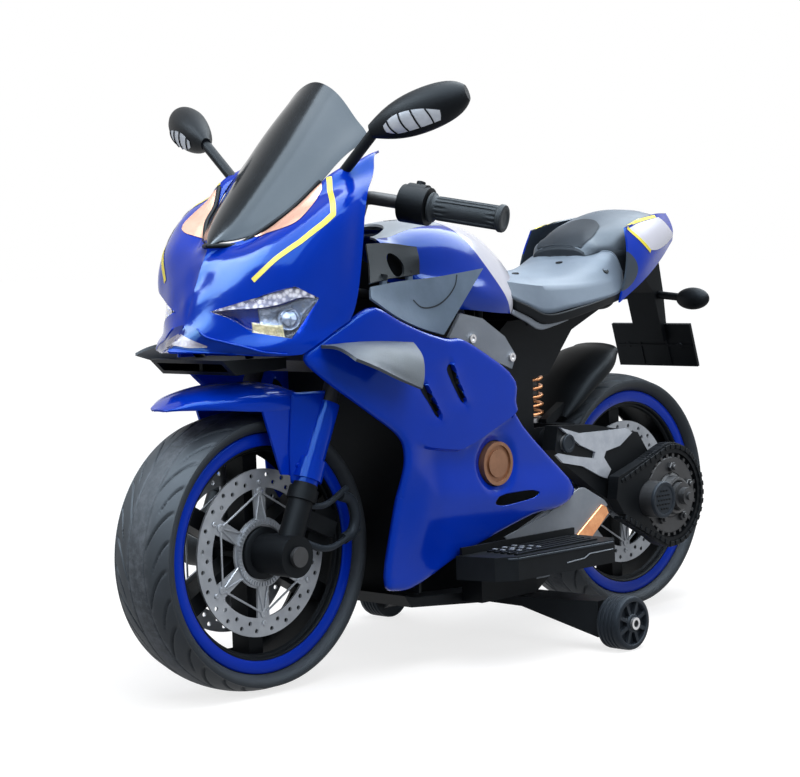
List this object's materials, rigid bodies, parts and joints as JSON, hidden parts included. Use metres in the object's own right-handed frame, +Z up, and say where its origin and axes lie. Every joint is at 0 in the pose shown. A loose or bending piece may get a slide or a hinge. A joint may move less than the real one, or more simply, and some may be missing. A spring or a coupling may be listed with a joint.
{
  "type": "kids electric motorbike",
  "caption": "Battery ride-on toy sport motorbike with full fairing, raked fork, sprung swingarm, hub gear motor, footrests and side stabiliser wheels",
  "frame": {"origin": "on the ground, midway between the two axles", "axes": "+X forward, +Y to the rider's left, +Z up"},
  "size_m": [1.11, 0.5566, 0.785],
  "materials": {
    "blue_gloss": "gloss deep blue paint",
    "smoke_gloss": "gloss smoked black",
    "clear_lens": "clear moulded lens",
    "red_lens": "red moulded lens",
    "black_plastic": "satin black moulding",
    "grey_plastic": "satin dark grey moulding",
    "silver_plastic": "silver painted moulding",
    "bronze_plastic": "bronze painted moulding",
    "black_metal": "black painted steel",
    "steel": "zinc plated steel",
    "copper_coat": "copper coloured coating on spring steel",
    "grip_rubber": "ribbed black rubber",
    "tyre_black": "black tread"
  },
  "bodies": {
    "chassis": {"main_frame": "black_plastic", "nose_cowl": "blue_gloss", "windscreen": "smoke_gloss", "headlights": "clear_lens", "chin_intake": "black_plastic", "side_fairing_left": "blue_gloss", "side_fairing_right": "blue_gloss", "winglets": "black_plastic", "tank_cover": "blue_gloss", "tank_top_panel": "grey_plastic", "duct_panels": "grey_plastic", "frame_spars": "grey_plastic", "seat_pad": "grey_plastic", "seat_base": "grey_plastic", "tail_cowl": "blue_gloss", "tail_light": "red_lens", "subframe": "black_plastic", "plate_holder": "black_plastic", "rear_signals": "black_plastic", "footrests": "black_plastic", "heel_guards": "grey_plastic", "stabiliser_brackets": "black_metal", "engine_caps": "bronze_plastic", "battery": "black_plastic", "control_box": "black_plastic", "shock_upper": "black_metal", "screws": "steel"},
    "steering": {"steering_fork": "black_metal", "top_yoke": "black_plastic", "fork_sleeves": "blue_gloss", "fork_lowers": "black_plastic", "front_fender": "blue_gloss", "front_calipers": "black_plastic", "front_axle": "steel", "handlebar": "black_metal", "grip_left": "grip_rubber", "switch_pods": "black_plastic"},
    "throttle": {"throttle_grip": "grip_rubber"},
    "horn": {"horn_button": "grey_plastic"},
    "front_wheel": {"front_tyre": "tyre_black", "front_rim": "black_plastic", "front_discs": "silver_plastic"},
    "swingarm_body": {"swingarm": "black_plastic", "swingarm_trims": "silver_plastic", "chain_cover": "black_plastic", "drive_motor": "black_metal", "rear_axle": "steel", "hugger": "black_plastic", "shock_rod": "steel", "shock_spring": "copper_coat"},
    "rear_wheel": {"rear_tyre": "tyre_black", "rear_rim": "black_plastic", "rear_discs": "silver_plastic", "drive_gear": "black_plastic"},
    "pinion": {"motor_pinion": "steel"},
    "stabiliser_left": {"stabiliser_wheel_left": "black_plastic"},
    "stabiliser_right": {"stabiliser_wheel_right": "black_plastic"},
    "mirror_left_body": {"mirror_left": "black_plastic"},
    "mirror_right_body": {"mirror_right": "black_plastic"},
    "rocker": {"power_switch": "red_lens"}
  },
  "joints": [
    {"name": "steering_turn", "type": "hinge", "parent": "chassis", "child": "steering", "pos_m": [0.375, 0, 0.18], "axis": [-0.4067, 0, 0.9135], "range_deg": [-18, 18]},
    {"name": "front_wheel_spin", "type": "hinge", "parent": "steering", "child": "front_wheel", "pos_m": [0.375, 0, 0.18], "axis": [0, 1, 0], "continuous": true},
    {"name": "throttle_twist", "type": "hinge", "parent": "steering", "child": "throttle", "pos_m": [0.18557, -0.064, 0.63007], "axis": [-0.3257, -0.9289, -0.1762], "range_deg": [0, 35], "stiffness_Nm_per_rad": 0.15, "springref_deg": -11.46},
    {"name": "horn_press", "type": "slide", "parent": "steering", "child": "horn", "axis": [0.3489, 0, -0.9371], "range_m": [0, 0.002], "stiffness_N_per_m": 300, "springref_m": -0.001},
    {"name": "swingarm_lift", "type": "hinge", "parent": "chassis", "child": "swingarm_body", "pos_m": [-0.157, 0, 0.276], "axis": [0, 1, 0], "range_deg": [0, 4.5], "stiffness_Nm_per_rad": 160, "springref_deg": -11.46, "deforming": ["shock_spring"]},
    {"name": "rear_wheel_spin", "type": "hinge", "parent": "swingarm_body", "child": "rear_wheel", "pos_m": [-0.375, 0, 0.18], "axis": [0, 1, 0], "continuous": true},
    {"name": "motor_pinion_spin", "type": "hinge", "parent": "swingarm_body", "child": "pinion", "pos_m": [-0.321, 0, 0.18], "axis": [0, 1, 0], "continuous": true},
    {"name": "stabiliser_left_spin", "type": "hinge", "parent": "chassis", "child": "stabiliser_left", "pos_m": [-0.113, 0.2315, 0.0375], "axis": [0, 1, 0], "continuous": true},
    {"name": "stabiliser_right_spin", "type": "hinge", "parent": "chassis", "child": "stabiliser_right", "pos_m": [-0.113, -0.2315, 0.0375], "axis": [0, 1, 0], "continuous": true},
    {"name": "mirror_left_turn", "type": "hinge", "parent": "chassis", "child": "mirror_left_body", "pos_m": [0.277, 0.11, 0.666], "axis": [-0.0279, 0.754, 0.6563], "range_deg": [-15, 15]},
    {"name": "mirror_right_turn", "type": "hinge", "parent": "chassis", "child": "mirror_right_body", "pos_m": [0.277, -0.11, 0.666], "axis": [-0.0279, -0.754, 0.6563], "range_deg": [-15, 15]},
    {"name": "power_rocker", "type": "hinge", "parent": "chassis", "child": "rocker", "pos_m": [0.083, 0, 0.5925], "axis": [0, 1, 0], "range_deg": [-7, 7]}
  ],
  "couplings": [
    {"joint": "motor_pinion_spin", "follows": "rear_wheel_spin", "ratio": -3.5}
  ]
}
